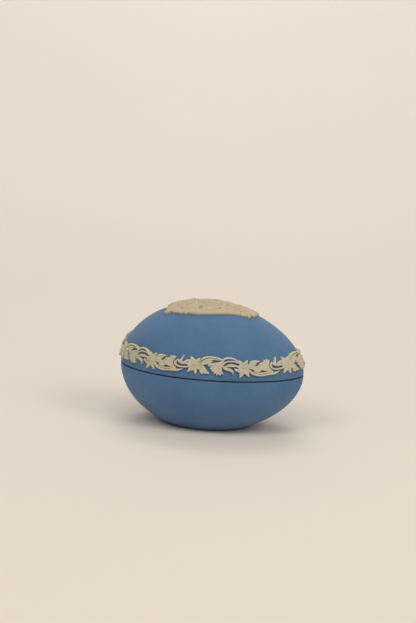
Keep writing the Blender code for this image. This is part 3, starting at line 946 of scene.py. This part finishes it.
# ------------------------------------------------------------
# The left leaf spray.
# A broad curl of leaves in pressed white clay beside the basket, its lobes overlapping down its
# outer side, with two full flowers inside the curl.
# ------------------------------------------------------------
def cut_spray(mould, stem, leaves):
    """Cuts leaves off a stem, each given by its share of the stem, direction, length and half width."""
    line = smooth_route(stem)
    for share, degrees, length, half in leaves:
        base = line[int(share * (len(line) - 1))]
        cut_leaf(mould, base[:2], degrees, length, half)
    cut(mould, stem, depth=1.12)


left_mould = new_mould((-18.6, -13.2), (-3.2, 10.4))
cut(left_mould, [(-5.6, -9.2, 1.2), (-6.0, -6.6, 1.5), (-6.5, -4.0, 1.5), (-6.9, -1.2, 1.2),
                 (-6.6, 1.4, .9)], 0.74)
cut(left_mould, [(-15.3, -6.7, .9), (-13.0, -7.8, 1.2), (-10.6, -9.2, 1.2), (-8.0, -10.0, 1.1),
                 (-6.2, -10.1, .9)], 0.80)
cut(left_mould, [(-9.5, -6.0, 1.4), (-9.8, -2.0, 1.6), (-9.0, 2.0, 1.4), (-7.5, 4.5, 1.0)], 0.74)
cut_spray(left_mould, [(-5.2, -8.6, .45), (-8.0, -8.4, .5), (-11.0, -6.4, .5), (-12.4, -2.6, .48),
                       (-11.8, 1.4, .45),
                       (-9.6, 4.8, .4), (-7.2, 6.6, .35)],
          [(0.02, 262, 2.6, .95), (0.10, 250, 2.7, 1.0), (0.20, 240, 3.0, 1.05), (0.30, 228, 3.6, 1.1),
           (0.37, 216, 5.7, 1.1), (0.45, 199, 5.3, 1.0), (0.50, 184, 4.4, 1.15), (0.58, 172, 4.2, 1.15),
           (0.66, 158, 4.2, 1.1), (0.74, 142, 4.2, 1.1), (0.82, 126, 4.2, 1.05), (0.90, 108, 4.0, 1.0),
           (0.98, 88, 3.4, .9), (0.06, 80, 3.4, .95), (0.16, 62, 3.8, 1.0), (0.27, 70, 4.2, 1.05),
           (0.37, 40, 4.2, 1.05), (0.48, 20, 4.4, 1.05), (0.60, 2, 4.2, 1.05), (0.72, -22, 3.8, 1.0),
           (0.84, -40, 3.4, .9), (0.02, 60, 4.6, 1.1), (0.01, 20, 2.6, .8), (0.05, 100, 5.0, 1.1)])
cut_rose(left_mould, -8.4, -3.9, 2.3)
cut_rose(left_mould, -8.3, 1.0, 2.0)
lay_on_crown("left_leaf_spray", left_mould, "crown_left_spray")


# ------------------------------------------------------------
# The right leaf spray.
# The same curl in pressed white clay, slimmer, on the other side of the basket, with one long tip
# that hangs below the rest.
# ------------------------------------------------------------
right_mould = new_mould((3.6, -9.4), (18.4, 10.4))
cut(right_mould, [(5.3, -5.6, 1.1), (6.3, -4.0, 1.4), (6.7, -1.4, 1.4), (6.9, 1.2, 1.0)], 0.74)
cut(right_mould, [(9.0, -6.2, .9), (11.2, -4.9, 1.1), (13.2, -4.3, .9), (14.2, -3.2, .7)], 0.80)
cut(right_mould, [(9.5, -3.4, 1.2), (10.4, -0.6, 1.5), (9.8, 2.8, 1.3), (8.4, 5.0, .9)], 0.74)
cut_spray(right_mould, [(5.4, -4.6, .45), (8.2, -4.6, .5), (11.0, -3.2, .5), (12.6, -0.4, .48),
                        (12.2, 2.8, .45),
                        (10.2, 5.4, .4), (7.8, 6.8, .35)],
          [(0.02, 200, 2.4, .7), (0.02, 120, 4.2, 1.0), (0.14, 296, 2.4, .9), (0.26, 306, 2.6, .9),
           (0.38, 316, 3.2, .95), (0.46, 304, 4.9, .62), (0.50, 334, 3.9, 1.0), (0.57, 350, 3.8, 1.05),
           (0.65, 8, 3.8, 1.05), (0.73, 26, 3.8, 1.05),
           (0.81, 46, 3.8, 1.0), (0.89, 68, 3.8, 1.0), (0.97, 90, 3.4, .9), (0.10, 95, 3.6, .95),
           (0.22, 112, 3.8, 1.0), (0.34, 128, 4.2, 1.05), (0.46, 146, 4.2, 1.05), (0.58, 166, 4.0, 1.0),
           (0.70, 190, 3.8, 1.0), (0.82, 212, 3.4, .9)])
cut_rose(right_mould, 8.8, -1.4, 2.2)
cut_rose(right_mould, 8.6, 2.9, 1.9)
lay_on_crown("right_leaf_spray", right_mould, "crown_right_spray")


# ------------------------------------------------------------
# The table, the light and the camera.
# A sheet of warm white paper swept up behind the box, a soft light over the camera, one to each
# side of it, one behind and above, and one on the paper.
# ------------------------------------------------------------
def make_paper():
    """Warm white backdrop paper, barely uneven."""
    material = bpy.data.materials.new("backdrop_paper")
    material.use_nodes = True
    tree = material.node_tree
    shader = tree.nodes["Principled BSDF"]
    coordinates = tree.nodes.new("ShaderNodeTexCoord").outputs["Object"]
    shader.inputs["Roughness"].default_value = 0.9
    shader.inputs["Specular IOR Level"].default_value = 0.2
    body = mixed(tree, noise(tree, coordinates, 6.0, 3.0), (0.752, 0.702, 0.664, 1), (0.774, 0.724, 0.688, 1))
    tree.links.new(body, shader.inputs["Base Color"])
    return material


def make_backdrop():
    """Floor that curves up into a back wall, away from the camera."""
    half_width, front, bend_start, bend_radius, top = 2.4, -1.6, 0.5, 0.9, 2.8
    outline = [(front, 0.0), (bend_start, 0.0)]
    for step in range(1, 17):
        angle = math.pi / 2 * step / 16
        outline.append((bend_start + bend_radius * math.sin(angle), bend_radius * (1 - math.cos(angle))))
    outline.append((bend_start + bend_radius, top))
    points = [(side * half_width, y, z) for y, z in outline for side in (-1, 1)]
    faces = [(2 * i, 2 * i + 1, 2 * i + 3, 2 * i + 2) for i in range(len(outline) - 1)]
    mesh = bpy.data.meshes.new("backdrop")
    mesh.from_pydata(points, [], faces)
    mesh.shade_smooth()
    mesh.materials.append(make_paper())
    backdrop = bpy.data.objects.new("backdrop", mesh)
    bpy.context.scene.collection.objects.link(backdrop)
    backdrop.rotation_euler = (0, 0, camera_turn)


def make_light(name, watts, size, place, aim, colour):
    """A square soft light."""
    light = bpy.data.lights.new(name, "AREA")
    light.energy = watts
    light.size = size
    light.color = colour
    lamp = bpy.data.objects.new(name, light)
    bpy.context.scene.collection.objects.link(lamp)
    lamp.location = place
    lamp.rotation_euler = (Vector(aim) - Vector(place)).to_track_quat("-Z", "Y").to_euler()


camera_turn = math.radians(16.1)
camera_rise = math.radians(12.67)
camera_distance = 562.6 * MM
camera_roll = math.radians(2.49)
focal_length = 86.7
aim_left = 2.3 * MM
aim_above = 20.6 * MM

make_backdrop()
box_middle = (0, 0, 0.02)
lamp_colour = (1.0, 0.94, 0.82)
softboxes = (
    # name, degrees round from the camera, degrees up, distance, size, watts
    ("key_softbox", 6, 60, 1.5, 0.8, 4.8),
    ("right_softbox", 50, 38, 1.5, 0.6, 5.8),
    ("left_softbox", -38, 46, 1.5, 0.6, 4.8),
    ("top_softbox", 180, 70, 1.6, 1.0, 2.8),
)
for name, side, degrees, reach, size, watts in softboxes:
    around = camera_turn + math.radians(side)
    level = math.radians(degrees)
    place = (reach * math.cos(level) * math.sin(around), -reach * math.cos(level) * math.cos(around),
             reach * math.sin(level))
    make_light(name, watts, size, place, box_middle, lamp_colour)
make_light("backdrop_light", 6.5, 0.8, (-0.25, 0.75, 1.3), (-0.35, 1.4, 0.3), (1.0, 0.98, 0.95))

world = bpy.data.worlds.new("studio")
bpy.context.scene.world = world
world.use_nodes = True
world.node_tree.nodes["Background"].inputs["Color"].default_value = (1.0, 0.96, 0.93, 1)
world.node_tree.nodes["Background"].inputs["Strength"].default_value = 0.29
bpy.context.scene.view_settings.view_transform = "Standard"

middle = Vector((0, 0, seam_height))
back = Vector((math.sin(camera_turn) * math.cos(camera_rise), -math.cos(camera_turn) * math.cos(camera_rise),
               math.sin(camera_rise)))
right = Vector((math.cos(camera_turn), math.sin(camera_turn), 0))
camera_data = bpy.data.cameras.new("camera")
camera_data.lens = focal_length
camera = bpy.data.objects.new("camera", camera_data)
bpy.context.scene.collection.objects.link(camera)
camera.location = middle + back * camera_distance
aim = middle - right * aim_left + back.cross(right) * aim_above
camera.rotation_mode = "QUATERNION"
looking = (aim - camera.location).to_track_quat("-Z", "Y")
camera.rotation_quaternion = looking @ Quaternion((0, 0, 1), camera_roll)
bpy.context.scene.camera = camera
